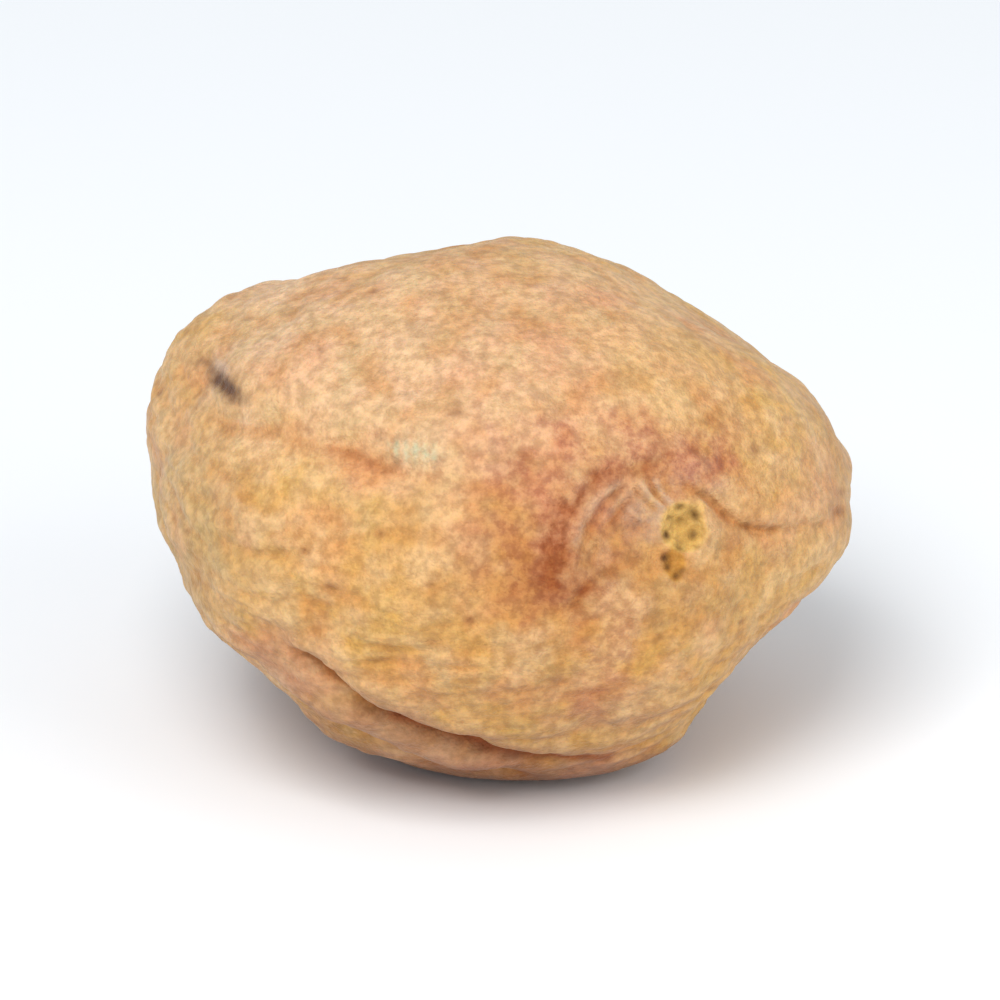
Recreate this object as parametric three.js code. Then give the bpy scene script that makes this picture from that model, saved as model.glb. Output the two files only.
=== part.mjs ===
// One whole dried apricot, with its stone still inside, lying on its lower cheek.
// Millimetres, +Z up. The origin is the middle of its footprint box, on the surface it lies on.
// -Y is the side with the stem scar, and +X is the end where the groove of the suture runs off.
// The fruit is one grown piece, so it is one closed solid: an uneven ellipsoid that dried on to its
// stone, with the stem cavity, the suture, the folds and the wrinkles raised from it by formula.

import * as THREE from "three";
import { ImprovedNoise } from "three/addons/math/ImprovedNoise.js";
import { mergeVertices } from "three/addons/utils/BufferGeometryUtils.js";

// Driving dimensions
const LENGTH = 32; // along X
const DEPTH = 27; // along Y
const HEIGHT = 23.5; // along Z, before the resting spot is pressed flat
const PRESSED = 0.7; // how much of the underside the resting spot takes away
const FACET_ROWS = 23; // rows of facets on each of the 20 sides of the first shape

// Skin colour, for a plain view
const SKIN_COLOUR = 0xd9a066;
const SKIN_ROUGHNESS = 0.7;

const RADIANS = Math.PI / 180;
const MEAN_RADIUS = (LENGTH + DEPTH + HEIGHT) / 6;
const HEART = new THREE.Vector3(0, 0, HEIGHT / 2 - PRESSED); // all directions are seen from here

// A direction from the heart: azimuth counted from +X towards +Y, elevation above the level.
function towards(azimuth, elevation) {
  const flat = Math.cos(elevation * RADIANS);
  return new THREE.Vector3(
    flat * Math.cos(azimuth * RADIANS),
    flat * Math.sin(azimuth * RADIANS),
    Math.sin(elevation * RADIANS),
  );
}

// A smooth hill, 1 at its middle, that falls to about a third at its width.
const hill = (distance, width) => Math.exp(-((distance / width) ** 2));

// Rises smoothly from 0 to 1 between two values.
const ramp = (value, from, to) => THREE.MathUtils.smoothstep(value, from, to);

// The distance over the skin between two directions, in millimetres.
const overSkin = (a, b) => a.angleTo(b) * MEAN_RADIUS;

// Swellings and hollows of the whole form: share of the radius, and width in degrees.
const SHOULDERS = [
  { name: "upper left shoulder", place: towards(158, 38), share: 0.11, width: 21 },
  { name: "crown", place: towards(70, 62), share: 0.03, width: 14 },
  { name: "upper right slope", place: towards(30, 48), share: -0.09, width: 24 },
  { name: "right end", place: towards(-12, -6), share: 0.03, width: 11 },
  { name: "slope under the right end", place: towards(-18, -32), share: -0.13, width: 25 },
  { name: "front foot", place: towards(-48, -55), share: 0.05, width: 15 },
  { name: "slope under the left end", place: towards(-158, -32), share: -0.09, width: 27 },
  { name: "waist of the left end", place: towards(178, -2), share: -0.04, width: 20 },
  { name: "dip before the crown", place: towards(130, 52), share: -0.09, width: 17 },
  { name: "front cheek", place: towards(-108, 5), share: 0.03, width: 30 },
  { name: "back cheek", place: towards(60, -5), share: 0.04, width: 34 },
  { name: "flat of the back cheek", place: towards(84, 22), share: -0.05, width: 22 },
  { name: "beak at the blossom end", place: towards(128, -14), share: 0.07, width: 9 },
];

// Where the stalk broke off. The scar stands in the right part of the cavity.
const STEM = {
  cavity: towards(-64, 21),
  cavityDepth: 0.75,
  cavityWidth: 2.9,
  rimRadius: 3.8,
  rimHeight: 0.4,
  rimWidth: 0.9,
  rimBearing: 150, // in degrees, where the rim is highest: 0 is right of the scar, 90 above it
  scar: towards(-55, 19),
  scarRadius: 0.95,
  scarStretch: 1.35, // the scar is longer from top to bottom than across
  scarHeight: 0.22,
  scarWidth: 0.34,
  pitDepth: 0.25,
  pitWidth: 0.57,
  pleats: 22, // in a full turn
  pleatHeight: 0.26,
  pleatLength: 9,
  pleatsFrom: 2.3, // from the scar to the middle of the pleats
  pleatsWidth: 1.2,
};

// The line of a groove or fold over the skin, from a few directions.
const LINE_STEPS = 12; // from one of these directions to the next
function lineThrough(...places) {
  const curve = new THREE.CatmullRomCurve3(places.map(([a, e]) => towards(a, e)));
  return curve.getPoints(LINE_STEPS * (places.length - 1)).map((point) => point.normalize());
}

// Grooves and folds: depth and half width in millimetres. A lip swells beside each of them, above
// a line whose places follow each other towards +X on the front, or towards -X on the back.
const CREASES = [
  {
    name: "suture from the stem towards the right end",
    line: lineThrough([-53, 28], [-49, 24], [-44, 17], [-38, 13], [-31, 11], [-23, 8], [-12, 4]),
    depth: 0.55,
    halfWidth: 0.85,
    lip: 0.22,
  },
  {
    name: "suture round the back to the beak",
    line: lineThrough([8, 2], [34, -4], [62, -2], [95, -10], [124, -14]),
    depth: 0.6,
    halfWidth: 1.3,
    lip: 0.25,
  },
  {
    name: "edge of the stone on the left",
    line: lineThrough([-166, 30], [-146, 36], [-125, 37], [-108, 34], [-94, 30]),
    depth: 0.4,
    halfWidth: 2,
    lip: 0.3,
  },
  {
    name: "main fold under the front cheek",
    line: lineThrough([-131, -3], [-118, -15], [-110, -25], [-100, -31], [-90, -38], [-79, -43], [-62, -46]),
    depth: 1.2,
    halfWidth: 1.2,
    lip: 0.4,
  },
  {
    name: "fold below the main one",
    line: lineThrough([-158, -9], [-140, -20], [-124, -33], [-108, -44], [-88, -53], [-66, -57]),
    depth: 0.8,
    halfWidth: 1.1,
    lip: 0.3,
  },
  {
    name: "bowed wrinkle in the foot",
    line: lineThrough([-91, -16], [-89, -25], [-84, -32], [-77, -32], [-73, -26], [-73, -18]),
    depth: 0.22,
    halfWidth: 0.8,
    lip: 0.05,
  },
  {
    name: "fold under the left end",
    line: lineThrough([-168, -8], [174, -16], [156, -24], [138, -32]),
    depth: 0.4,
    halfWidth: 1.3,
    lip: 0.15,
  },
  {
    name: "fold low on the back",
    line: lineThrough([22, -20], [44, -30], [70, -30], [92, -38], [118, -34]),
    depth: 0.75,
    halfWidth: 1.2,
    lip: 0.35,
  },
  {
    name: "upper fold on the back",
    line: lineThrough([52, 30], [70, 20], [92, 24], [112, 14], [140, 16]),
    depth: 0.45,
    halfWidth: 1.2,
    lip: 0.25,
  },
  {
    name: "short fold on the back of the right end",
    line: lineThrough([14, 16], [27, 9], [42, 7], [56, 12]),
    depth: 0.4,
    halfWidth: 1.1,
    lip: 0.2,
  },
];

const FADE = { first: 0.2, last: 0.3 }; // shares of a crease's line over which it fades at its ends
const LIP = { middle: 1.1, width: 0.9 }; // in half widths of the crease
const VALLEY_ROUNDING = 0.2; // in half widths too

// Wrinkles run level round the fruit, close above each other. They get low where the skin is taut,
// on the upper cheek and towards the right end.
const WRINKLE = { height: 0.42, apart: 2.3, long: 8.5, wander: 2.4, wanderLong: 9 };
const TAUT = { middle: towards(-48, 52), left: 0.2, from: 0.2, to: 0.8 };
const UNEVEN = { height: 0.4, across: 6.5 };

// Facets are drawn together round the stem and along each crease, so that small forms get small ones.
const GATHER_STEM = { width: 5.5, pull: 0.5 };
const GATHER_CREASE = { width: 0.8, pull: 0.75 };

// Noise between about -1 and 1. Each use has its own seed, which only moves it along.
const SEED = { drift: 3, pleats: 5, wrinkles: 7, uneven: 11 };
const perlin = new ImprovedNoise();
const noise = (p, across, seed) => perlin.noise(p.x / across + seed, p.y / across, p.z / across);

// Rounded ridges between narrow valleys, between about -0.5 and 1.5.
const ridges = (p, seed) => 2 * Math.abs(noise(p, 1, seed)) ** 0.8 - 0.5;

// The nearest point of a crease's line, the distance to it over the skin, the side of the line that
// the direction is on, and how much of the crease is left there, since it fades at both ends.
function nearestOn(line, direction) {
  let nearest = Infinity;
  let place, along, side;
  for (let i = 0; i + 1 < line.length; i++) {
    const segment = new THREE.Line3(line[i], line[i + 1]);
    const share = segment.closestPointToPointParameter(direction, true);
    const point = segment.at(share, new THREE.Vector3()).normalize();
    const distance = overSkin(point, direction);
    if (distance >= nearest) continue;
    nearest = distance;
    place = point;
    along = (i + share) / (line.length - 1);
    side = new THREE.Vector3().crossVectors(line[i], line[i + 1]).dot(direction);
  }
  const strength = ramp(along, 0, FADE.first) * ramp(1 - along, 0, FADE.last);
  return { place, distance: nearest, above: side > 0, strength };
}

// Two rounded shoulders that meet in a narrow valley, with a lip above it.
function creaseRelief(crease, direction) {
  const { distance, above, strength } = nearestOn(crease.line, direction);
  const reach = Math.hypot(distance / crease.halfWidth, VALLEY_ROUNDING);
  const valley = reach < 1 ? -crease.depth * (1 - reach) ** 2 : 0;
  const lip = above ? crease.lip * hill(reach - LIP.middle, LIP.width) : 0;
  return strength * (valley + lip);
}

// The cavity round the stem scar, its rim, the short pleats that gather there, and the corky scar.
function stemRelief(direction) {
  const fromCavity = overSkin(direction, STEM.cavity);
  const fromScar = overSkin(direction, STEM.scar);
  const up = new THREE.Vector3(0, 0, 1).projectOnPlane(STEM.scar).normalize();
  const right = new THREE.Vector3().crossVectors(up, STEM.scar);
  const bearing = Math.atan2(direction.dot(up), direction.dot(right));
  const rimSide = 0.5 + 0.5 * Math.cos(bearing - STEM.rimBearing * RADIANS);
  const cavity = -STEM.cavityDepth * hill(fromCavity, STEM.cavityWidth);
  const rim = STEM.rimHeight * rimSide * hill(fromCavity - STEM.rimRadius, STEM.rimWidth);
  const grid = STEM.pleats / (2 * Math.PI);
  const round = new THREE.Vector3(
    grid * Math.cos(bearing),
    grid * Math.sin(bearing),
    fromScar / STEM.pleatLength,
  );
  const gathered = rimSide * hill(fromScar - STEM.pleatsFrom, STEM.pleatsWidth);
  const pleats = STEM.pleatHeight * gathered * ridges(round, SEED.pleats);
  const inScar = fromScar / (1 + (STEM.scarStretch - 1) * Math.sin(bearing) ** 2);
  const ring = STEM.scarHeight * hill(inScar - STEM.scarRadius, STEM.scarWidth);
  const pit = -STEM.pitDepth * hill(inScar, STEM.pitWidth);
  return cavity + rim + pleats + ring + pit;
}

// Ridges that are long round the fruit and close together up and down it, and wander a little.
function wrinkleRelief(point) {
  const drift = WRINKLE.wander * noise(point, WRINKLE.wanderLong, SEED.drift);
  const squeezed = new THREE.Vector3(
    point.x / WRINKLE.long,
    point.y / WRINKLE.long,
    (point.z + drift) / WRINKLE.apart,
  );
  const facing = point.dot(TAUT.middle) / point.length();
  const taut = ramp(facing, TAUT.from, TAUT.to);
  const height = WRINKLE.height * THREE.MathUtils.lerp(1, TAUT.left, taut);
  return height * ridges(squeezed, SEED.wrinkles);
}

// The skin's point in a direction from the heart.
function skinAt(direction) {
  const whole = new THREE.Vector3(LENGTH / 2, DEPTH / 2, HEIGHT / 2).multiply(direction);
  const swelling = SHOULDERS.reduce(
    (sum, s) => sum + s.share * hill(direction.angleTo(s.place) / RADIANS, s.width),
    1,
  );
  whole.multiplyScalar(swelling);
  const creases = CREASES.reduce((sum, crease) => sum + creaseRelief(crease, direction), 0);
  const uneven = UNEVEN.height * noise(whole, UNEVEN.across, SEED.uneven);
  const nearStem = hill(overSkin(direction, STEM.cavity), STEM.rimRadius);
  const wrinkles = (1 - nearStem) * wrinkleRelief(whole);
  const relief = creases + uneven + wrinkles + stemRelief(direction);
  return whole.setLength(whole.length() + relief);
}

// Turns a direction towards a place, the more the nearer it is.
function gather(direction, place, { width, pull }, strength = 1) {
  const distance = overSkin(direction, place);
  if (distance < 1e-6) return;
  const turn = new THREE.Vector3().crossVectors(direction, place).normalize();
  const share = strength * pull * hill(distance, width);
  direction.applyAxisAngle(turn, (share * distance) / MEAN_RADIUS);
}

function makeApricot() {
  const sphere = new THREE.IcosahedronGeometry(1, FACET_ROWS);
  sphere.deleteAttribute("normal");
  sphere.deleteAttribute("uv");
  const skin = mergeVertices(sphere, 1e-5);
  const points = skin.getAttribute("position");
  const direction = new THREE.Vector3();
  for (let i = 0; i < points.count; i++) {
    direction.fromBufferAttribute(points, i).normalize();
    gather(direction, STEM.scar, GATHER_STEM);
    for (const { line } of CREASES) {
      const { place, strength } = nearestOn(line, direction);
      gather(direction, place, GATHER_CREASE, strength);
    }
    const point = skinAt(direction).add(HEART);
    points.setXYZ(i, point.x, point.y, Math.max(point.z, 0));
  }
  // the footprint box is centred on the origin
  skin.computeBoundingBox();
  const middle = skin.boundingBox.getCenter(new THREE.Vector3());
  skin.translate(-middle.x, -middle.y, 0);
  skin.computeVertexNormals();

  const material = new THREE.MeshStandardMaterial({
    color: SKIN_COLOUR,
    roughness: SKIN_ROUGHNESS,
    metalness: 0,
  });
  const apricot = new THREE.Mesh(skin, material);
  apricot.name = "apricot";
  return apricot;
}

const part = new THREE.Group();
part.add(makeApricot());

export default part;
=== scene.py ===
# %% [markdown]
# # A whole dried apricot
# This is a small apricot that was dried whole, with its stone still inside. It grew and dried as one
# piece, so the object is a single skin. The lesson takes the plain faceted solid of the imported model,
# makes a finer copy of it, raises the small wrinkles and the stem scar on that copy, and paints it
# with shader nodes.

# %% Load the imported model
import math

import bmesh
import bpy
import numpy as np
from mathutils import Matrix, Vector, noise


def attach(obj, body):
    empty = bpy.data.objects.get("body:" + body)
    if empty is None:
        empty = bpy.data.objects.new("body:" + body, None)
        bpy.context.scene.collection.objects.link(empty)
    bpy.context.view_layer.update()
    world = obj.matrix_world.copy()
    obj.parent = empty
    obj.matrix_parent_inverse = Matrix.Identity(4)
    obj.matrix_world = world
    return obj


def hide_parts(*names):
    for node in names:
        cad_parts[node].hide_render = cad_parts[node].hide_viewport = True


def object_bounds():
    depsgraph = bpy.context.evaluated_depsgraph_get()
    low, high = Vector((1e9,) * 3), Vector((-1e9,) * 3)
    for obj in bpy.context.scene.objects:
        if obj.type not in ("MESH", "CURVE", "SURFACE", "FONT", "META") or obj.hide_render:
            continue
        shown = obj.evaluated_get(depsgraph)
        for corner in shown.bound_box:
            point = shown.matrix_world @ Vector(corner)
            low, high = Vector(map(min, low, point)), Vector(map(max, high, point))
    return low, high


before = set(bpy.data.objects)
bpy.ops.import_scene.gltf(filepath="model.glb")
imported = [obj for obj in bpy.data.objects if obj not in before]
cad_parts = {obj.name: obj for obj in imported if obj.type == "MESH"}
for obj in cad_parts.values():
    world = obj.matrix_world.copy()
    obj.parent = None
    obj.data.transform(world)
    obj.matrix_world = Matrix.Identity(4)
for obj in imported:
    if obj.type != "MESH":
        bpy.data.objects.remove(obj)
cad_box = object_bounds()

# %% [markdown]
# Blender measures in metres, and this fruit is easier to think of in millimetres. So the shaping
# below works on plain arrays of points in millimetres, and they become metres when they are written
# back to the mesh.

MM = 0.001

cad_size = cad_box[1] - cad_box[0]
print("box of the solid in mm:", [round(side / MM, 2) for side in cad_size])

# %% [markdown]
# ## The camera
# The photograph looks down on the fruit by about 25 degrees from far away, so its perspective is
# nearly flat. A long lens gives the same look. The fruit is only a small part of the photograph, so
# the camera here stands on the same line of sight and takes in a narrower view.

# %% Camera
LOOKING_DOWN = math.radians(25)
VIEW_WIDTH = 45 * MM  # what the picture takes in from left to right, where the fruit is
LENS = 400
SENSOR = 36

camera_data = bpy.data.cameras.new("camera")
camera_data.lens = LENS
camera_data.sensor_width = SENSOR
camera = bpy.data.objects.new("camera", camera_data)
bpy.context.scene.collection.objects.link(camera)

away = Vector((0, -math.cos(LOOKING_DOWN), math.sin(LOOKING_DOWN)))
camera_distance = VIEW_WIDTH * LENS / SENSOR
aim = (cad_box[0] + cad_box[1]) / 2
camera.location = aim + away * camera_distance
camera.rotation_euler = (math.pi / 2 - LOOKING_DOWN, 0, 0)
bpy.context.scene.camera = camera
print("camera distance in mm:", round(camera_distance / MM))

# %% [markdown]
# ## Floor and light
# The fruit lies on a plain white surface under very soft light. A wide softbox above on the left is
# the main light, a weaker and warmer one on the right fills in, and a pale world keeps the shadows
# open and a little blue. The Standard view transform leaves the white of the floor white.

# %% Floor
FLOOR_SIZE = 4.0
FLOOR_COLOUR = (0.92, 0.935, 0.955, 1)
FLOOR_ROUGHNESS = 0.9

floor_shape = bmesh.new()
bmesh.ops.create_grid(floor_shape, x_segments=1, y_segments=1, size=FLOOR_SIZE / 2)
floor_mesh = bpy.data.meshes.new("floor")
floor_shape.to_mesh(floor_mesh)
floor_shape.free()
floor = bpy.data.objects.new("floor", floor_mesh)
bpy.context.scene.collection.objects.link(floor)

floor_paint = bpy.data.materials.new("floor")
floor_paint.use_nodes = True
floor_shader = floor_paint.node_tree.nodes["Principled BSDF"]
floor_shader.inputs["Base Color"].default_value = FLOOR_COLOUR
floor_shader.inputs["Roughness"].default_value = FLOOR_ROUGHNESS
floor_mesh.materials.append(floor_paint)
print("floor in mm:", round(FLOOR_SIZE / MM))

# %% Lights
WORLD_COLOUR = (0.88, 0.94, 1.0, 1)
WORLD_STRENGTH = 0.55


def softbox(name, place, size, power, tint):
    """A square area light that faces the fruit."""
    data = bpy.data.lights.new(name, "AREA")
    data.shape = "SQUARE"
    data.size = size
    data.energy = power
    data.color = tint
    light = bpy.data.objects.new(name, data)
    light.location = place
    light.rotation_mode = "QUATERNION"
    light.rotation_quaternion = (aim - light.location).to_track_quat("-Z", "Y")
    bpy.context.scene.collection.objects.link(light)


softbox("key", Vector((-0.10, -0.26, 0.38)), size=0.26, power=1.64, tint=(1.0, 0.99, 0.98))
softbox("fill", Vector((0.34, -0.22, 0.24)), size=0.30, power=0.58, tint=(1.0, 0.96, 0.89))

world = bpy.data.worlds.new("studio")
world.use_nodes = True
background = world.node_tree.nodes["Background"]
background.inputs["Color"].default_value = WORLD_COLOUR
background.inputs["Strength"].default_value = WORLD_STRENGTH
bpy.context.scene.world = world
bpy.context.scene.view_settings.view_transform = "Standard"
print("lights:", [light.name for light in bpy.data.lights])

# %% [markdown]
# ## A finer copy of the solid
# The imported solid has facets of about 0.7 mm, and the copy needs about 0.17 mm to carry fine
# wrinkles. Cutting every triangle into four, twice over, does that, and smoothing after each cut
# rounds off the facets without losing the folds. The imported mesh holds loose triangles, so its
# doubles are merged first, or each triangle would be smoothed on its own.

# %% Cut the triangles and round them off
MERGE_WITHIN = 0.001 * MM
CUTS = 2
SMOOTHINGS = 3

skin_shape = bmesh.new()
skin_shape.from_mesh(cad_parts["apricot"].data)
bmesh.ops.remove_doubles(skin_shape, verts=skin_shape.verts, dist=MERGE_WITHIN)
for _ in range(CUTS):
    bmesh.ops.subdivide_edges(skin_shape, edges=skin_shape.edges, cuts=1, use_grid_fill=True)
    for _ in range(SMOOTHINGS):
        bmesh.ops.smooth_vert(
            skin_shape,
            verts=skin_shape.verts,
            factor=0.5,
            use_axis_x=True,
            use_axis_y=True,
            use_axis_z=True,
        )
print("triangles:", len(skin_shape.faces), "open edges:", sum(not e.is_manifold for e in skin_shape.edges))

skin_mesh = bpy.data.meshes.new("apricot_skin")
skin_shape.to_mesh(skin_mesh)
skin_shape.free()

# %% [markdown]
# ## Points as arrays
# Numpy moves all the points at once. `hill` is 1 at its middle and falls to about a third at its
# width, and `ramp` rises smoothly from 0 to 1. Almost every form below is made of these two.

# %% Read the points
def read_points(name):
    """The mesh's points ("co") or their normals ("normal"), one row for each vertex."""
    values = np.empty(3 * len(skin_mesh.vertices))
    skin_mesh.vertices.foreach_get(name, values)
    return values.reshape(-1, 3)


def write_points(values):
    """Moves the mesh's points to new places, which are given in millimetres."""
    skin_mesh.vertices.foreach_set("co", (values * MM).ravel())
    skin_mesh.update()


def hill(distance, width):
    return np.exp(-((distance / width) ** 2))


def ramp(value, low, high):
    share = np.clip((value - low) / (high - low), 0, 1)
    return share * share * (3 - 2 * share)


points = read_points("co") / MM
edges = np.empty(2 * len(skin_mesh.edges), int)
skin_mesh.edges.foreach_get("vertices", edges)
edges = edges.reshape(-1, 2)
print("vertices:", len(points))

# %% [markdown]
# ## Finding a place on the fruit
# A place on the skin is named by the direction in which the heart of the fruit sees it: azimuth from
# +X towards +Y, so -90 faces the camera, and elevation above the level. The fruit is longer than it
# is high, so the directions are taken after squeezing it into a ball.

# %% Directions from the heart
HEART = np.array([-0.15, 0.0, 11.05])
HALF_SIZES = np.array([16.0, 13.5, 11.75])
MEAN_RADIUS = HALF_SIZES.mean()

directions = (points - HEART) / HALF_SIZES
directions /= np.linalg.norm(directions, axis=1, keepdims=True)


def towards(azimuth, elevation):
    a, e = math.radians(azimuth), math.radians(elevation)
    return np.array([math.cos(e) * math.cos(a), math.cos(e) * math.sin(a), math.sin(e)])


def from_place(azimuth, elevation):
    """Each point's distance over the skin from a place, in millimetres."""
    return MEAN_RADIUS * np.arccos(np.clip(directions @ towards(azimuth, elevation), -1, 1))


def from_stroke(*places, steps=30):
    """Each point's distance from a line through some places."""
    ends = [towards(*place) for place in places]
    line = [a + (b - a) * i / steps for a, b in zip(ends, ends[1:]) for i in range(steps)]
    line = np.array([p / np.linalg.norm(p) for p in [*line, ends[-1]]])
    nearest = np.max([directions @ p for p in line], axis=0)
    return MEAN_RADIUS * np.arccos(np.clip(nearest, -1, 1))


# %% [markdown]
# ## Deeper valleys
# Smoothing many times and looking at how far each point moved tells ridges from valleys. The solid's
# folds are a little shallow, because its facets are coarse, so the valleys are pressed in further
# and the skin pinches together there as on the real fruit.

# %% Tell ridges from valleys
def smoothed(values, rounds):
    """Each point goes to the middle of its neighbours, again and again."""
    starts, ends = edges.T
    count = np.bincount(starts, minlength=len(values)) + np.bincount(ends, minlength=len(values))
    for _ in range(rounds):
        total = [
            np.bincount(starts, values[ends, axis], len(values))
            + np.bincount(ends, values[starts, axis], len(values))
            for axis in range(3)
        ]
        values = np.transpose(total) / count[:, None]
    return values


def relief_of(values, rounds):
    """How far each point stands above the smoothed skin, in millimetres, below 0 in a valley."""
    height = np.sum((values - smoothed(values, rounds)) * normals, axis=1)
    return height - np.median(height)


WIDE = 110  # rounds of smoothing that level whole folds
NEAR = 14  # rounds that level only the fine wrinkles
DEEPER = 0.45

normals = read_points("normal")
folds = relief_of(points, WIDE)
points += normals * (DEEPER * np.minimum(folds, 0))[:, None]
write_points(points)
normals = read_points("normal")
print("deepest fold in mm:", round(-folds.min(), 2), "highest ridge:", round(folds.max(), 2))

# %% [markdown]
# ## Places in the picture
# Small marks are easier to place as the camera sees them: in millimetres to the right of the middle
# of the picture and above it. Parts of the skin that face away from the camera are kept out.

# %% Places as the camera sees them
FAR = 99.0
TURNED_AWAY = 0.05  # skin that faces the camera less than this counts as hidden

eye = np.array(camera.location) / MM
picture_right = np.array([1, 0, 0])
picture_up = np.array([0, math.sin(LOOKING_DOWN), math.cos(LOOKING_DOWN)])
from_eye = points - eye
depth = from_eye @ -np.array(away)
flat = np.column_stack((from_eye @ picture_right, from_eye @ picture_up))
seen = flat * (camera_distance / MM / depth)[:, None]
hidden = normals @ np.array(away) < TURNED_AWAY
print("seen from the camera:", int(np.sum(~hidden)), "vertices")


def from_seen_spot(x, y):
    """Each point's distance from a spot in the picture, in millimetres."""
    return np.where(hidden, FAR, np.hypot(seen[:, 0] - x, seen[:, 1] - y))


def from_seen_line(*places):
    """Each point's distance from a line through some spots in the picture."""
    nearest = np.full(len(seen), FAR)
    for start, end in zip(np.array(places), np.array(places[1:])):
        run = end - start
        share = np.clip((seen - start) @ run / (run @ run), 0, 1)
        apart = seen - start - share[:, None] * run
        nearest = np.minimum(nearest, np.linalg.norm(apart, axis=1))
    return np.where(hidden, FAR, nearest)


# %% [markdown]
# ## Wrinkles
# Skin that shrinks on to a stone buckles into ridges that are long one way and close together the
# other. The absolute value of smooth noise has just that profile: rounded ridges with narrow valleys
# between them. Squeezing the noise upright makes the ridges run level round the fruit. They fade on
# the upper cheek, where the skin is stretched over the flesh, near the stem, which has its own, and
# a little low down in front.

# %% Fine wrinkles
def noise_at(places, seed):
    """Smooth noise from about -1 to 1 at each row of an array."""
    return np.array([noise.noise(Vector(row)) for row in places + (17.3 * seed, 0, 0)])


def ridges(places, seed):
    """Rounded ridges with narrow valleys, from about -0.5 to 1."""
    return 2 * np.abs(noise_at(places, seed)) ** 0.8 - 0.5


def wrinkles(height, apart, long, seed):
    """Ridges that run level round the fruit and wander up and down a little."""
    drift = 0.9 * noise_at(points / 5, seed + 1)
    grid = np.column_stack((points[:, 0] / long, points[:, 1] / long, (points[:, 2] + drift) / apart))
    return height * ridges(grid, seed)


CAVITY = (-64, 21)
UPPER_CHEEK = (-48, 52)
LOW_FRONT = (-82, -14)

taut = ramp(directions @ towards(*UPPER_CHEEK), 0.2, 0.8)
patchy = 0.75 + 0.5 * noise_at(points / 4.5, 5)
low_front = hill(from_place(*LOW_FRONT), 5.5)
strength = patchy * (1 - 0.75 * taut - 0.2 * low_front) * (1 - hill(from_place(*CAVITY), 3.2))

coarse_ridges = wrinkles(height=0.13, apart=1.05, long=4.2, seed=11)
fine_ridges = wrinkles(height=0.07, apart=0.55, long=1.9, seed=21)
fine = strength * (coarse_ridges + fine_ridges)
crumple = 0.05 * ridges(points / 1.3, 31) + 0.12 * noise_at(points / 2.6, 37)
print("fine wrinkles in mm:", round(fine.min(), 2), "to", round(fine.max(), 2))

# %% [markdown]
# ## The stem scar
# The stalk broke off and left an oval corky scar with small dark marks in a ring, where its vessels
# were, and a torn pit under it. Its outline isn't a clean oval, so noise makes it uneven.

# %% The scar and its marks
SCAR = (8.25, -1.23)
SCAR_HALF_SIZES = (0.97, 1.1)
TEAR = (7.86, -2.85)
TEAR_HALF_SIZES = (0.46, 0.85)
MARKS = [  # across, above, size and depth
    (8.10, -0.34, 0.20, 0.8),
    (7.66, -0.80, 0.15, 0.6),
    (8.76, -0.74, 0.20, 1.1),
    (7.54, -1.56, 0.21, 1.4),
    (8.68, -1.54, 0.20, 0.9),
    (8.14, -0.98, 0.20, 0.4),
    (8.12, -2.12, 0.22, 0.9),
    (8.88, -2.10, 0.13, 0.5),
    (7.42, -2.62, 0.20, 1.2),
    (7.54, -2.98, 0.18, 1.1),
    (7.98, -3.42, 0.20, 1.1),
    (8.26, -3.16, 0.15, 0.7),
]
RIM_HEIGHT = 0.13
FLOOR_DEPTH = 0.07
FLOOR_GRAIN = 0.07
TEAR_DEPTH = 0.1
MARK_DEPTH = 0.14


def in_oval(middle, half_sizes, seed):
    """0 at the middle of an uneven oval in the picture, 1 at its edge."""
    across, above = (seen - middle).T
    share = np.hypot(across / half_sizes[0], above / half_sizes[1])
    return np.where(hidden, FAR, share * (1 + 0.22 * noise_at(points / 0.8, seed)))


in_scar = in_oval(SCAR, SCAR_HALF_SIZES, 45)
in_tear = in_oval(TEAR, TEAR_HALF_SIZES, 46)
marks = sum(depth * hill(from_seen_spot(x, y), size) for x, y, size, depth in MARKS)
rim_side = ramp(seen[:, 0] - SCAR[0] + 0.5 * (seen[:, 1] - SCAR[1]), -0.2, 0.9)
scar_rim = hill(in_scar - 1.05, 0.2) * (0.35 + 0.65 * rim_side)
scar_floor = ramp(1.05 - in_scar, 0, 0.3)
print("dark marks:", len(MARKS), "and vertices in the scar:", int(np.sum(in_scar < 1)))
scar_relief = (
    RIM_HEIGHT * scar_rim
    - FLOOR_DEPTH * scar_floor
    + FLOOR_GRAIN * scar_floor * noise_at(points / 0.3, 43)
    - TEAR_DEPTH * ramp(1.1 - in_tear, 0, 0.5)
    - MARK_DEPTH * marks
)

# %% [markdown]
# The skin is drawn together in short pleats at the upper left of the scar, and in longer ones along
# the left wall of the cavity. Each of them is a line with a height, or a depth where it is below 0.
# The lines with a name are painted further down as well. The last one of the list fills the suture
# groove a little where it runs out at the tip.

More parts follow.
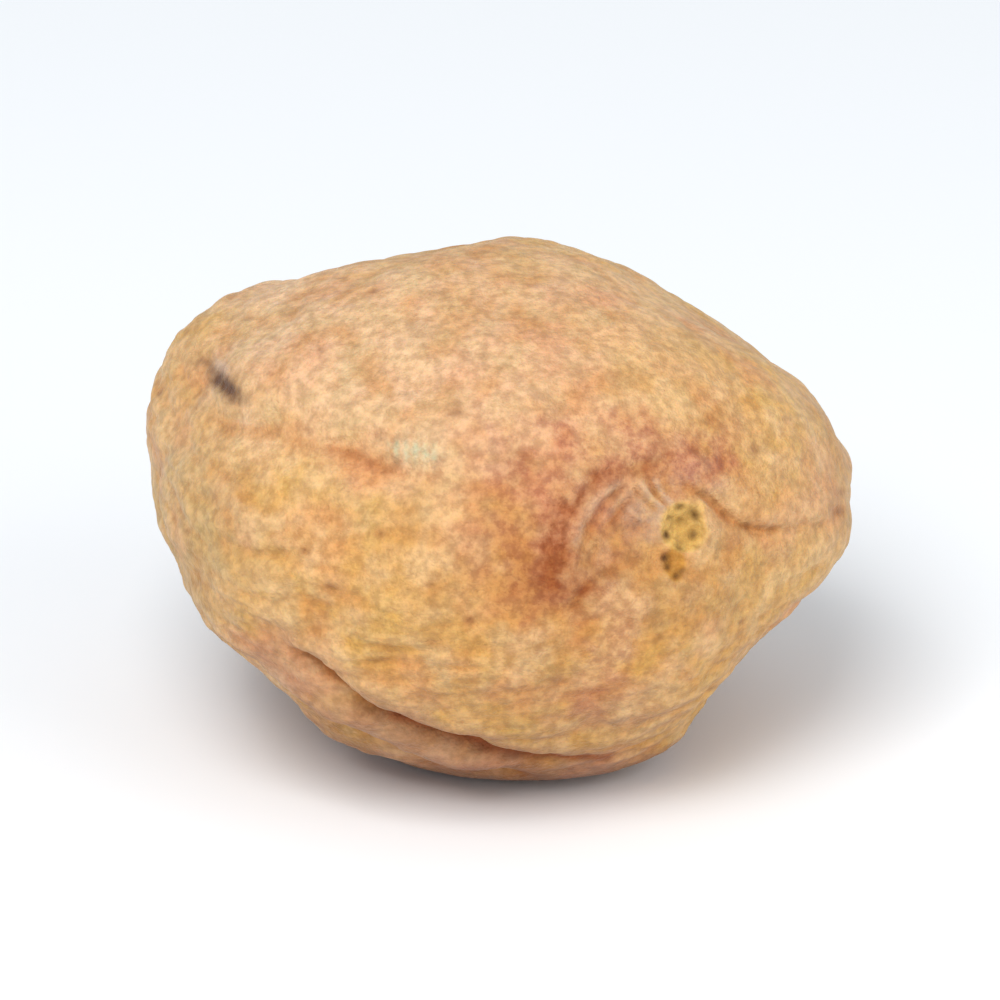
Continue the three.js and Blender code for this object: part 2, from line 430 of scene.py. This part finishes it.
# %% Pleats and small creases
LONG_PLEAT = [(6.34, 0.77), (6.74, 0.15), (7.30, -0.34)]
SHORT_PLEAT = [(7.01, 0.86), (7.30, 0.26), (7.74, -0.18)]
WALL_CREASE = [(2.35, -3.70), (2.30, -2.10), (2.50, -1.20), (3.05, -0.20)]
WALL_RIDGE = [(3.35, -1.90), (3.75, -0.90), (4.40, 0.10), (5.20, 0.75)]
MIDDLE_CREASE = [(3.75, -2.20), (4.10, -1.10), (4.70, -0.20), (5.40, 0.50)]
INNER_CREASE = [(5.00, -1.00), (5.60, -0.20), (6.20, 0.35)]
BROW_CREASE = [(4.30, 1.20), (5.20, 1.30), (6.40, 1.45), (7.40, 1.95)]
PLEATS = [  # height, width and the line
    (0.13, 0.16, LONG_PLEAT),
    (0.12, 0.15, SHORT_PLEAT),
    (0.09, 0.14, [(5.86, 0.26), (6.41, -0.47)]),
    (0.07, 0.13, [(5.75, -0.35), (6.35, -0.85)]),
    (0.06, 0.14, [(7.70, 0.90), (7.95, 0.30)]),
    (-0.12, 0.12, [(6.65, 0.80), (7.05, 0.15), (7.52, -0.28)]),
    (-0.09, 0.12, [(6.05, 0.52), (6.60, -0.15), (6.95, -0.45)]),
    (-0.14, 0.24, WALL_CREASE),
    (-0.11, 0.18, [(2.85, -2.90), (2.90, -1.70), (3.25, -0.80), (3.80, 0.30), (4.50, 1.00)]),
    (0.12, 0.20, [(3.20, -3.00), *WALL_RIDGE]),
    (-0.08, 0.16, MIDDLE_CREASE),
    (0.07, 0.16, [(4.20, -1.90), (4.60, -0.90), (5.20, -0.10), (5.90, 0.50)]),
    (-0.07, 0.15, INNER_CREASE),
    (-0.09, 0.26, BROW_CREASE),
    (-0.10, 0.20, [(8.40, 0.62), (8.97, 0.28), (9.52, 0.02)]),
    (-0.12, 0.22, [(3.97, -3.85), (3.30, -4.80)]),
    (-0.08, 0.15, [(-9.36, -3.40), (-8.47, -3.85), (-7.58, -4.07)]),
    (0.10, 0.30, [(12.70, -1.30), (13.60, -1.15), (14.60, -0.75)]),
]
pleats = sum(height * hill(from_seen_line(*line), width) for height, width, line in PLEATS)
stem = scar_relief + pleats * (1 - ramp(1.3 - in_scar, 0, 0.3))
print("stem relief in mm:", round(stem.min(), 2), "to", round(stem.max(), 2))

# %% [markdown]
# ## Small marks
# A fruit that lay in the sun has a few pits and specks. Most of their places are drawn at random from a
# fixed seed, so every run gives the same fruit. Those that the photograph shows clearly are listed one by
# one, as is the dark blemish on the upper left.

# %% Pits, specks and blemish
rng = np.random.default_rng(7)
PITS = 60
pit_places = rng.normal(size=(PITS, 3))
pit_places /= np.linalg.norm(pit_places, axis=1, keepdims=True)
pit_sizes = rng.uniform(0.14, 0.30, PITS)
specks = sum(
    hill(MEAN_RADIUS * np.arccos(np.clip(directions @ place, -1, 1)), size)
    for place, size in zip(pit_places, pit_sizes)
)
SEEN_SPECKS = [  # across, above, size and strength
    (5.81, -5.47, 0.20, 1.4),
    (5.08, -3.29, 0.28, 0.8),
    (9.41, -1.85, 0.18, 0.9),
    (9.41, 3.70, 0.28, 0.7),
    (11.50, 2.20, 0.26, 1.0),
    (-1.36, -5.40, 0.22, 1.5),
    (-1.48, -7.29, 0.18, 0.9),
    (15.15, -0.52, 0.30, 1.3),
    (15.35, 0.30, 0.26, 1.0),
    (-8.03, 6.81, 0.22, 0.8),
    (-5.70, 5.26, 0.22, 0.7),
    (-7.47, 5.15, 0.20, 0.7),
    (-1.70, 6.59, 0.30, 0.7),
    (-0.81, 6.48, 0.26, 0.6),
    (-4.59, 1.70, 0.22, 0.9),
    (-2.92, 1.88, 0.24, 1.3),
]
specks += sum(depth * hill(from_seen_spot(x, y), size) for x, y, size, depth in SEEN_SPECKS)

BLEMISH_TAIL = [(-13.40, 6.35), (-12.95, 6.05)]
BLEMISH = [(-12.60, 5.40), (-12.40, 5.20), (-11.95, 4.75)]
blemish = 0.5 * hill(from_seen_line(*BLEMISH_TAIL), 0.42) + 1.3 * hill(from_seen_line(*BLEMISH), 0.42)
blemish *= 0.8 + 0.5 * noise_at(points / 0.5, 51)
# The shine is a painted highlight beside the blemish, on a small raised bump.
BLEMISH_SHINE = [(-12.55, 6.05), (-12.30, 5.85)]
blemish_shine = hill(from_seen_line(*BLEMISH_SHINE), 0.24)

SPECK_DEPTH = 0.06
BLEMISH_DEPTH = 0.14
SHINE_HEIGHT = 0.08
marks_relief = SHINE_HEIGHT * blemish_shine - SPECK_DEPTH * specks - BLEMISH_DEPTH * blemish
print("specks:", PITS + len(SEEN_SPECKS))

# %% [markdown]
# ## Put the relief on the skin
# Every relief moves the points along the skin's normals. The spot that the fruit rests on stays flat,
# so the relief dies out towards the floor, and nothing goes below it.

# %% Move the points
FLAT_BELOW = 0.15
FULL_RELIEF_ABOVE = 1.6

above_floor = ramp(points[:, 2], FLAT_BELOW, FULL_RELIEF_ABOVE)
relief = above_floor * (fine + crumple + stem + marks_relief)
points = points + normals * relief[:, None]
points[:, 2] = np.maximum(points[:, 2], 0)
write_points(points)
normals = read_points("normal")
print("relief in mm:", round(relief.min(), 2), "to", round(relief.max(), 2))

# %% [markdown]
# ## Masks for the paint
# The paint needs to know where the valleys, the blush and the scar are. Each of these is a number
# from 0 to 1 at every vertex, kept on the mesh as a named attribute that the shader can read. The
# first masks come from the form itself, smoothed little for wrinkles and much for folds.

# %% Masks that follow the form
def keep(name, values):
    """Stores a mask on the mesh for the shader."""
    layer = skin_mesh.attributes.new(name, "FLOAT", "POINT")
    layer.data.foreach_set("value", np.clip(values, 0, 1).astype(np.float32))


near_relief = relief_of(points, NEAR)
wide_relief = relief_of(points, WIDE)
# The valley mask carries painted shade in the wrinkles and folds, and the ridge mask a painted highlight
# on their crests.
keep("valley", 0.6 * ramp(-near_relief, 0.0, 0.07) + 0.5 * ramp(-wide_relief, 0.05, 0.35))
keep("ridge", 0.6 * ramp(near_relief, 0.0, 0.05) + 0.4 * ramp(wide_relief, 0.05, 0.3))
# The fold mask carries painted shade in the long fold.
keep("fold", ramp(-wide_relief, 0.16, 0.45))
print("share of the skin in a fold:", round(float(np.mean(wide_relief < -0.3)), 3))

# %% [markdown]
# Large patches of colour follow no form, so they are hills round chosen places. Noise stretches and
# shrinks the distance to each place, which gives every patch a ragged edge. The places at the back,
# which the photograph doesn't show, are named by their direction from the heart.

# %% Masks for the large patches
def uneven(size, seed, amount=0.5):
    """Makes the strength of a painted patch vary."""
    return 1 + amount * noise_at(points / size, seed)


wobble = 1 + 0.45 * noise_at(points / 1.8, 75) + 0.3 * noise_at(points / 0.6, 76)


def patch(distance, width):
    """A hill with a ragged edge."""
    return hill(distance * wobble, width)


pink = (
    0.9 * patch(from_place(-125, 60), 8)
    + 0.6 * patch(from_place(-60, 66), 7)
    + 0.5 * patch(from_place(-104, 44), 4)
    + 0.9 * patch(from_seen_spot(-9.4, 8.4), 2.5)
    + 0.6 * patch(from_seen_spot(-10.0, -7.6), 2.2)
    + 0.5 * patch(from_seen_spot(14.5, 1.5), 2)
)
yellow = (
    0.7 * patch(from_place(-132, 16), 5)
    + 0.9 * patch(from_seen_line((-7.2, -4.2), (-5.4, -1.6)), 2.4)
    + patch(from_seen_line((-4.2, -6.8), (-1.4, -6.2)), 2.0)
    + 0.9 * patch(from_seen_spot(11.0, -4.2), 2.4)
    + 0.5 * patch(from_place(-40, 45), 4)
    + 0.5 * patch(from_place(100, 10), 9)
)
grey = (
    0.8 * patch(from_seen_line((-14.8, 1.0), (-13.6, -3.2)), 1.6)
    + 0.5 * patch(from_seen_spot(-11.8, -1.2), 1.4)
    + 0.5 * patch(from_seen_spot(3.9, -3.3), 0.7)
    + 0.4 * patch(from_place(60, 30), 6)
)
ripe = (
    patch(from_seen_spot(0.8, -4.2), 5.6)
    + 0.7 * patch(from_place(70, -20), 10)
    + 0.5 * patch(from_place(170, -10), 6)
)
brown = (
    0.45 * patch(from_seen_spot(6.2, -1.4), 4.4)
    + 0.6 * patch(from_seen_line((4.6, -3.4), (6.4, -4.6)), 2.3)
    + 0.7 * patch(from_seen_line((2.4, -3.4), (3.9, -4.2)), 1.1)
    + 0.4 * patch(from_seen_spot(10.4, -1.9), 1.8)
    + 0.3 * patch(from_seen_spot(3.6, -8.8), 2.0)
    + 0.6 * patch(from_seen_line((9.3, -1.0), (10.0, -1.5)), 0.9)
    + 0.4 * patch(from_place(20, 5), 5)
)
pale = (
    0.9 * patch(from_seen_spot(-9.6, 8.2), 3.2)
    + 0.5 * patch(from_seen_spot(-15.1, 2.8), 1.6)
    # The small patch on the lower right is painted light: it brightens skin that faces down and to the
    # right, away from the lamps.
    + 0.2 * patch(from_seen_spot(11.1, -4.3), 1.8)
    + 0.5 * patch(from_place(-130, 50), 5)
)
keep("pink", pink * uneven(2.5, 65))
keep("yellow", yellow * uneven(1.6, 67, 0.8))
keep("grey", grey * uneven(0.9, 68, 0.9))
keep("ripe", ripe * uneven(3.0, 69, 0.4))
keep("brown", brown * uneven(1.0, 70, 0.6))
keep("pale", pale * uneven(1.4, 78, 0.6))
print("share of the skin that is more than half pink:", round(float(np.mean(pink > 0.5)), 2))

# %% [markdown]
# The blush round the stem has several reds: a wide rosy one, dark red in the creases of the left wall,
# where it is also painted shade, mauve beside it, which is partly painted shade on the wall of the cavity,
# and a pale lavender on the ridges, which is partly a painted highlight. The creases and pleats are the
# same lines as in the relief, so form and colour stay together.

# %% Masks for the blush, with its painted shade and painted highlight
rosy = (
    0.75 * patch(from_seen_line((0.3, 1.0), (1.0, -1.2), (0.8, -3.2)), 2.5)
    + 0.5 * patch(from_seen_spot(4.2, 0.6), 2.6)
    + 0.45 * patch(from_seen_line((3.0, -4.0), (5.2, -6.0)), 2.0)
    + 0.75 * patch(from_seen_line((6.0, 2.2), (10.0, 2.1)), 1.3)
    + 0.5 * patch(from_seen_spot(8.4, 1.0), 1.0)
    + 0.35 * patch(from_seen_spot(4.0, -8.8), 2.2)
)
# Dark red blush, which in the creases is also painted shade.
dark_red_and_shade = (
    0.6 * patch(from_seen_line(*WALL_CREASE), 0.75)
    + 0.4 * patch(from_seen_line((2.5, -2.2), (2.4, -3.7)), 0.5)
    + 0.6 * hill(from_seen_line((4.0, -3.8), (3.4, -4.7)), 0.32)
    + 0.5 * hill(from_seen_line((2.85, -2.9), (2.7, -1.6), (3.1, -0.8), (3.8, 0.3)), 0.2)
    + 0.2 * patch(from_seen_line((2.9, -0.3), (3.8, 0.5), (4.6, 1.1)), 0.5)
    + 0.35 * hill(from_seen_line(*MIDDLE_CREASE), 0.16)
    + 0.25 * hill(from_seen_line(*INNER_CREASE), 0.16)
    + 0.35 * patch(from_seen_line(*BROW_CREASE), 0.6)
    + 0.5 * (hill(from_seen_spot(4.2, 0.95), 0.3) + hill(from_seen_spot(6.7, 1.35), 0.35))
    + 0.35 * patch(from_seen_spot(2.2, -2.6), 1.4)
)
# Mauve blush, partly painted shade on the wall of the stem cavity.
mauve_and_shade = (
    0.7 * patch(from_seen_line((5.6, 0.1), (5.0, -1.2), (4.5, -2.4)), 0.9)
    + 0.6 * patch(from_seen_spot(3.5, 0.3), 0.6)
    + 1.4 * patch(from_seen_line((7.4, 1.1), (9.4, 1.1)), 0.95)
    + 0.3 * patch(from_seen_line((8.2, -4.2), (8.8, -5.4)), 0.8)
)
# Pale lavender, partly a painted highlight on the pleats and on the ridge of the wall.
lavender_and_highlight = (
    0.8 * patch(from_seen_line((6.0, -0.6), (6.9, -1.0)), 1.0)
    + 0.4 * patch(from_seen_spot(8.0, 0.9), 0.5)
    + 0.6 * hill(from_seen_line(*WALL_RIDGE), 0.15)
    + 0.7 * hill(from_seen_line(*LONG_PLEAT), 0.13)
    + 0.7 * hill(from_seen_line(*SHORT_PLEAT), 0.13)
)
keep("rosy", rosy * uneven(0.9, 61, 0.7))
keep("dark_red_and_shade", dark_red_and_shade * uneven(0.45, 62, 0.9))
keep("mauve_and_shade", mauve_and_shade * uneven(0.6, 63, 0.6))
keep("lavender_and_highlight", lavender_and_highlight * uneven(0.5, 64, 0.5))
print("share of the skin with a blush:", round(float(np.mean(rosy > 0.3)), 3))

# %% [markdown]
# The suture groove, the faint line on the left and the long fold are narrow, so their masks follow the
# lines closely, and they carry painted shade. The lobe under the fold, the underside and the foot are
# painted darker, as painted shade, because little light gets in between the fruit and the floor. The lobe
# is a little mauve as well.

# %% Masks for the painted shade of the lines, the fold and the parts near the floor
# Painted shade along the suture groove.
groove_shade = (
    0.9 * hill(from_seen_line((8.4, 0.65), (8.9, 0.3), (9.5, 0.02), (10.1, -0.5)), 0.2)
    + 0.5 * hill(from_seen_line((10.1, -0.5), (10.85, -1.1)), 0.2)
    + 0.9 * hill(from_seen_line((10.9, -1.15), (11.6, -1.42), (12.2, -1.35)), 0.25)
    + 0.2 * hill(from_seen_line((12.2, -1.3), (14.2, -1.05)), 0.28)
)
# Painted shade under a low step on the left.
left_line_shade = (
    0.3 * patch(from_seen_line((-9.2, 2.9), (-8.4, 2.65), (-7.4, 2.3)), 0.8)
    + 0.7 * patch(from_seen_line((-7.0, 2.0), (-6.2, 1.6), (-5.5, 1.45)), 0.55)
    + 0.25 * hill(from_seen_line((-5.3, 1.35), (-3.2, 0.95)), 0.35)
)
FOLD_COURSE = [(-108, -27), (-100, -31), (-90, -38), (-79, -43), (-64, -46)]
LOBE_COURSE = [(-132, -14), (-116, -30), (-102, -38), (-88, -46), (-72, -51)]
SHADED_FOLD = [(-6.0, -9.4), (-4.1, -9.9), (-2.0, -10.8), (0.1, -11.3), (1.5, -11.7)]
LOWER_EDGE_SHADE = [(-8.8, -9.8), (-7.1, -10.8), (-5.2, -11.8), (-2.0, -12.3), (0.8, -12.6)]
FOOT_TOP = 2.8

shaded_fold = hill(from_seen_line(*SHADED_FOLD), 0.55)
lower_edge_shade = hill(from_seen_line(*LOWER_EDGE_SHADE), 0.75)
keep("groove_shade", groove_shade * uneven(0.5, 72, 0.4))
keep("left_line_shade", left_line_shade * uneven(0.6, 73, 0.9))
# Painted shade along the long fold and on the lip just under it.
keep("fold_line_shade", hill(from_stroke(*FOLD_COURSE), 0.4) + 0.5 * shaded_fold)
# The lobe is a little mauve, and darker still as painted shade, since it faces down under the fold.
keep("lobe", hill(from_stroke(*LOBE_COURSE), 1.9) * uneven(1.5, 74, 0.3))
# Painted shade on the skin that faces down.
keep("underside_shade", ramp(-normals[:, 2], 0.3, 0.9))
# Painted shade near the floor, darkest along the lower edge where the contact shadow lies.
keep("foot", (ramp(FOOT_TOP - points[:, 2], 0, 2.3) + 0.8 * lower_edge_shade) * uneven(1.2, 77))
print("vertices in the foot:", int(np.sum(points[:, 2] < FOOT_TOP)))

# %% [markdown]
# The scar's masks are made of the same ovals and marks as its relief. A pale green mark on the
# upper left looks combed, so stripes run across it.

# %% Masks for the scar and the marks
keep("scar", ramp(1.2 - in_scar, 0, 0.25))
keep("tear", ramp(1.25 - in_tear, 0, 0.5))
# The pale rim, laid only on its right side, is a painted highlight on the raised rim.
keep("scar_rim", hill(in_scar - 1.12, 0.17) * rim_side)
keep("dark_marks", 0.9 * marks)
keep("specks", 0.7 * specks)
keep("blemish", 1.1 * blemish)
keep("blemish_shine", blemish_shine)
MINT_MARK = [(-4.6, 2.3), (-3.2, 2.05)]
STRIPE = 0.42
stripes = 0.6 + 0.4 * np.cos(seen[:, 0] * math.tau / STRIPE)
mint = hill(from_seen_line(*MINT_MARK), 0.5)
keep("mint", mint * stripes * uneven(0.4, 71, 0.6))
print("masks:", [layer.name for layer in skin_mesh.attributes])

# %% [markdown]
# ## Shader maths as Python expressions
# A shader is a graph of nodes, and long graphs are hard to read. `Wire` is a small class that wraps
# the output of a node, so that `1 - valley * 0.5` adds the Math nodes by itself. `Paint` adds every
# other kind of node: its settings are set first, and then the values or links of its sockets.

# %% A wire and a paint
class Wire:
    """One output of a shader node. Arithmetic on it adds Math nodes."""

    def __init__(self, paint, socket):
        self.paint = paint
        self.socket = socket

    def maths(self, operation, first, second):
        return self.paint.node("ShaderNodeMath", {"operation": operation}, {0: first, 1: second})

    def __add__(self, other):
        return self.maths("ADD", self, other)

    def __radd__(self, other):
        return self.maths("ADD", other, self)

    def __sub__(self, other):
        return self.maths("SUBTRACT", self, other)

    def __rsub__(self, other):
        return self.maths("SUBTRACT", other, self)

    def __mul__(self, other):
        return self.maths("MULTIPLY", self, other)

    def __rmul__(self, other):
        return self.maths("MULTIPLY", other, self)

    def __abs__(self):
        return self.paint.node("ShaderNodeMath", {"operation": "ABSOLUTE"}, {0: self})


class Paint:
    """A material, and a short way to add nodes to it."""

    def __init__(self, name):
        self.material = bpy.data.materials.new(name)
        self.material.use_nodes = True
        self.tree = self.material.node_tree
        self.shader = self.tree.nodes["Principled BSDF"]

    def connect(self, socket, value):
        if isinstance(value, Wire):
            self.tree.links.new(value.socket, socket)
        else:
            socket.default_value = value

    def node(self, kind, settings=None, sockets=None, out=0):
        made = self.tree.nodes.new(kind)
        for name, value in (settings or {}).items():
            setattr(made, name, value)
        for name, value in (sockets or {}).items():
            self.connect(made.inputs[name], value)
        return Wire(self, made.outputs[out])

    def mask(self, name):
        return self.node("ShaderNodeAttribute", {"attribute_name": name}, out="Fac")

    def step(self, value, low, high):
        """Rises smoothly from 0 to 1 as the value goes from low to high."""
        settings = {"interpolation_type": "SMOOTHSTEP"}
        return self.node("ShaderNodeMapRange", settings, {0: value, 1: low, 2: high})

    def mix(self, share, first, second, blend="MIX"):
        """The first colour where share is 0, and the second where it is 1."""
        settings = {"data_type": "RGBA", "blend_type": blend, "clamp_factor": True}
        return self.node("ShaderNodeMix", settings, {0: share, 6: first, 7: second}, out=2)

    def finish(self, name, value):
        self.connect(self.shader.inputs[name], value)


def colour(red, green, blue):
    """A colour as picked on a screen, from 0 to 255, turned into the linear values of a shader."""
    channels = [c / 255 for c in (red, green, blue)]
    return (*[((c + 0.055) / 1.055) ** 2.4 if c > 0.04045 else c / 12.92 for c in channels], 1)


# %% [markdown]
# ## The skin's colour
# Dried skin isn't one colour. Large patches go from tan to yellow and pink, a red-brown blush lies round
# the stem, valleys are painted a deeper orange as painted shade, for the light that passes through more
# flesh there, and ridges a paler cream as painted highlight. Over all of that lies a fine mottling, about
# half a millimetre across. The paint is laid on in that order, each layer mixed over the ones before it
# where its mask is.

# %% Large patches
skin = Paint("dried_skin")
place = skin.node("ShaderNodeTexCoord", out="Object")


def skin_noise(size, detail=2.0, roughness=0.5, shift=0.0, **settings):
    """Noise from 0 to 1, with grains of about that size in millimetres."""
    moved = skin.node("ShaderNodeVectorMath", {"operation": "ADD"}, {0: place, 1: (shift, 0, 0)})
    sockets = {"Vector": moved, "Scale": 1 / (size * MM), "Detail": detail, "Roughness": roughness}
    return skin.node("ShaderNodeTexNoise", settings, sockets, out="Fac")


TAN = colour(220, 172, 113)
YELLOW = colour(218, 168, 86)
PINK = colour(230, 183, 144)
OLIVE = colour(188, 162, 112)
RIPE = colour(196, 140, 74)
BROWN = colour(178, 118, 68)
PALE = colour(242, 206, 166)


def cover(surface, *layers):
    """Lays colours on, one after another. Each has a mask, its share at the full mask, and a tint."""
    for name, share, tint in layers:
        surface = skin.mix(skin.mask(name) * share, surface, tint)
    return surface


surface = skin.mix(skin.step(skin_noise(5.0), 0.38, 0.66), TAN, YELLOW)
surface = cover(
    surface,
    ("pink", 0.85, PINK),
    ("yellow", 0.8, YELLOW),
    ("grey", 0.6, OLIVE),
    ("ripe", 0.42, RIPE),
    ("brown", 0.62, BROWN),
    ("pale", 0.55, PALE),
)
print("shader nodes for the patches:", len(skin.tree.nodes))

# %% [markdown]
# Between the large patches and the fine grain, the skin is blotched. Four noises of different sizes
# give the blotches, each moved along so that no two of them look alike.

# %% Blotches of one to three millimetres
ROSE = colour(220, 152, 110)
OCHRE = colour(202, 142, 72)
CREAM = colour(234, 196, 146)


def blotches(size, share, shift):
    """Uneven patches that cover a good part of the skin."""
    return skin.step(skin_noise(size, detail=2.0, shift=shift), 0.46, 0.66) * share


for tint, size, share, shift in (
    (ROSE, 3.2, 0.45, 0.3),
    (OCHRE, 2.4, 0.45, 0.5),
    (CREAM, 2.0, 0.45, 0.7),
    (OLIVE, 1.5, 0.25, 0.9),
):
    surface = skin.mix(blotches(size, share, shift), surface, tint)

# %% Valleys and ridges
VALLEY_SHADE = colour(206, 132, 62)
# Painted shade in the valleys and a painted highlight on the ridges.
surface = cover(surface, ("valley", 0.35, VALLEY_SHADE), ("ridge", 0.3, CREAM))
print("shader nodes so far:", len(skin.tree.nodes))

# %% [markdown]
# A blush isn't a coat of paint: the skin's own mottling shows through it. So the rosy and mauve parts
# multiply the colour below instead of covering it, and all of them are strongest in the dark grains.

# %% The blush
grains = skin_noise(0.45, detail=3.0, roughness=0.6)
ragged = 0.94 - skin.step(grains, 0.36, 0.64) * 0.36
ROSY = colour(196, 124, 86)
DARK_RED_AND_SHADE = colour(156, 78, 28)
MAUVE = colour(176, 126, 104)
LAVENDER_AND_HIGHLIGHT = colour(204, 172, 146)


def tint_and_shade(share, surface, target):
    """Multiplies a colour over the skin and keeps its mottling: a tint for the blush, painted shade near
    the floor. On plain tan skin, a full share gives the target.
    """
    tint = (*[stained / plain for stained, plain in zip(target[:3], TAN[:3])], 1)
    return skin.mix(share, surface, tint, "MULTIPLY")


surface = tint_and_shade(skin.mask("rosy") * ragged * 0.9, surface, ROSY)
# Mauve is partly painted shade, lavender partly a painted highlight, and dark red is also painted shade in
# the creases.
surface = tint_and_shade(skin.mask("mauve_and_shade") * ragged * 0.4, surface, MAUVE)
surface = skin.mix(skin.mask("lavender_and_highlight") * ragged * 0.9, surface, LAVENDER_AND_HIGHLIGHT)
surface = skin.mix(skin.mask("dark_red_and_shade") * (0.3 + ragged * 0.6), surface, DARK_RED_AND_SHADE)

# %% [markdown]
# The parts near the floor get their painted shade in the same way, multiplied over the colour below. The
# lines and the fold are narrow and deep, and are covered with painted shade.

# %% Painted shade in the lines and the fold, and under the fruit
LEFT_LINE_SHADE = colour(212, 138, 88)
GROOVE_SHADE = colour(162, 96, 22)
LOBE_MAUVE_AND_SHADE = colour(170, 112, 94)
UNDERSIDE_SHADE = colour(140, 78, 48)
FOOT_SHADE = colour(152, 88, 66)
FOLD_SHADE = colour(148, 78, 16)
FOLD_LINE_SHADE = colour(142, 64, 12)

# Painted shade in the line on the left and in the suture groove.
surface = skin.mix(skin.mask("left_line_shade") * ragged * 0.75, surface, LEFT_LINE_SHADE)
surface = skin.mix(skin.mask("groove_shade") * ragged * 0.6, surface, GROOVE_SHADE)
# Painted shade on the lobe, the underside and the foot, with a little mauve on the lobe.
surface = tint_and_shade(skin.mask("lobe") * 0.4, surface, LOBE_MAUVE_AND_SHADE)
surface = tint_and_shade(skin.mask("underside_shade") * 0.5, surface, UNDERSIDE_SHADE)
surface = tint_and_shade(skin.mask("foot") * 0.55, surface, FOOT_SHADE)
# Painted shade in the long fold and along its line.
surface = cover(surface, ("fold", 0.75, FOLD_SHADE), ("fold_line_shade", 0.8, FOLD_LINE_SHADE))

# %% The scar and the marks
surface = cover(
    surface,
    ("tear", 0.65, colour(198, 138, 40)),
    ("scar", 0.8, colour(220, 178, 96)),
    # painted highlight on the scar's rim
    ("scar_rim", 0.4, colour(230, 182, 122)),
    ("specks", 0.6, colour(140, 84, 50)),
    ("dark_marks", 0.88, colour(96, 58, 18)),
    ("mint", 0.7, colour(188, 198, 164)),
    ("blemish", 0.9, colour(84, 48, 34)),
    # painted highlight beside the blemish
    ("blemish_shine", 0.45, colour(200, 176, 164)),
)

# %% A last grain of light and dark
GRAIN_GREY = colour(196, 188, 180)
GRAIN_WHITE = colour(255, 255, 255)
GRAIN_SHARE = 0.66

shade = skin.mix(skin.step(grains, 0.3, 0.7), GRAIN_GREY, GRAIN_WHITE)
surface = skin.mix(GRAIN_SHARE, surface, shade, "MULTIPLY")
print("shader nodes for the colour:", len(skin.tree.nodes))

# %% [markdown]
# ## The skin's finish
# The skin is dull and a little fuzzy. Rough reflection, some light passing under the surface and a
# faint pale sheen at grazing angles give that. Bumps too fine for the mesh are left to a Bump node:
# crepe-like creases and a sandy grain.

# %% Bumps
CREPE_SIZE = 0.42
SAND_SIZE = 0.14
BUMP_DEPTH = 0.13 * MM

crepe = abs(skin_noise(CREPE_SIZE, detail=2.4, roughness=0.6, shift=0.9) - 0.5)
sand = skin_noise(SAND_SIZE, detail=1.0, shift=1.2)
height = crepe * 1.6 + sand * 0.4
bump_sockets = {"Strength": 0.8, "Distance": BUMP_DEPTH, "Height": height}
bumps = skin.node("ShaderNodeBump", None, bump_sockets)
print("all shader nodes:", len(skin.tree.nodes))

# %% Finish
LIGHT_REACH = 0.6 * MM  # how far light travels under the surface
FLESH_GLOW = (1.0, 0.42, 0.16)  # red light travels farthest

skin.finish("Base Color", surface)
skin.finish("Normal", bumps)
skin.finish("Roughness", 0.62 + (grains - 0.5) * 0.3)
skin.finish("Specular IOR Level", 0.22)
skin.finish("Subsurface Weight", 0.22)
skin.finish("Subsurface Radius", FLESH_GLOW)
skin.finish("Subsurface Scale", LIGHT_REACH)
skin.finish("Sheen Weight", 0.14)
skin.finish("Sheen Roughness", 0.45)
skin.finish("Sheen Tint", (1.0, 0.93, 0.85, 1))

# %% [markdown]
# ## Place the skin
# The finished mesh is in metres and already where the solid is, so its object stays at the origin.
# It stands for the solid, moves with the fruit's one body, and belongs to the slot of the skin.

# %% Make the piece
fruit = bpy.data.objects.new("apricot_skin", skin_mesh)
bpy.context.scene.collection.objects.link(fruit)
skin_mesh.materials.clear()
skin_mesh.materials.append(skin.material)
skin_mesh.shade_smooth()
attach(fruit, "root")
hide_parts("apricot")
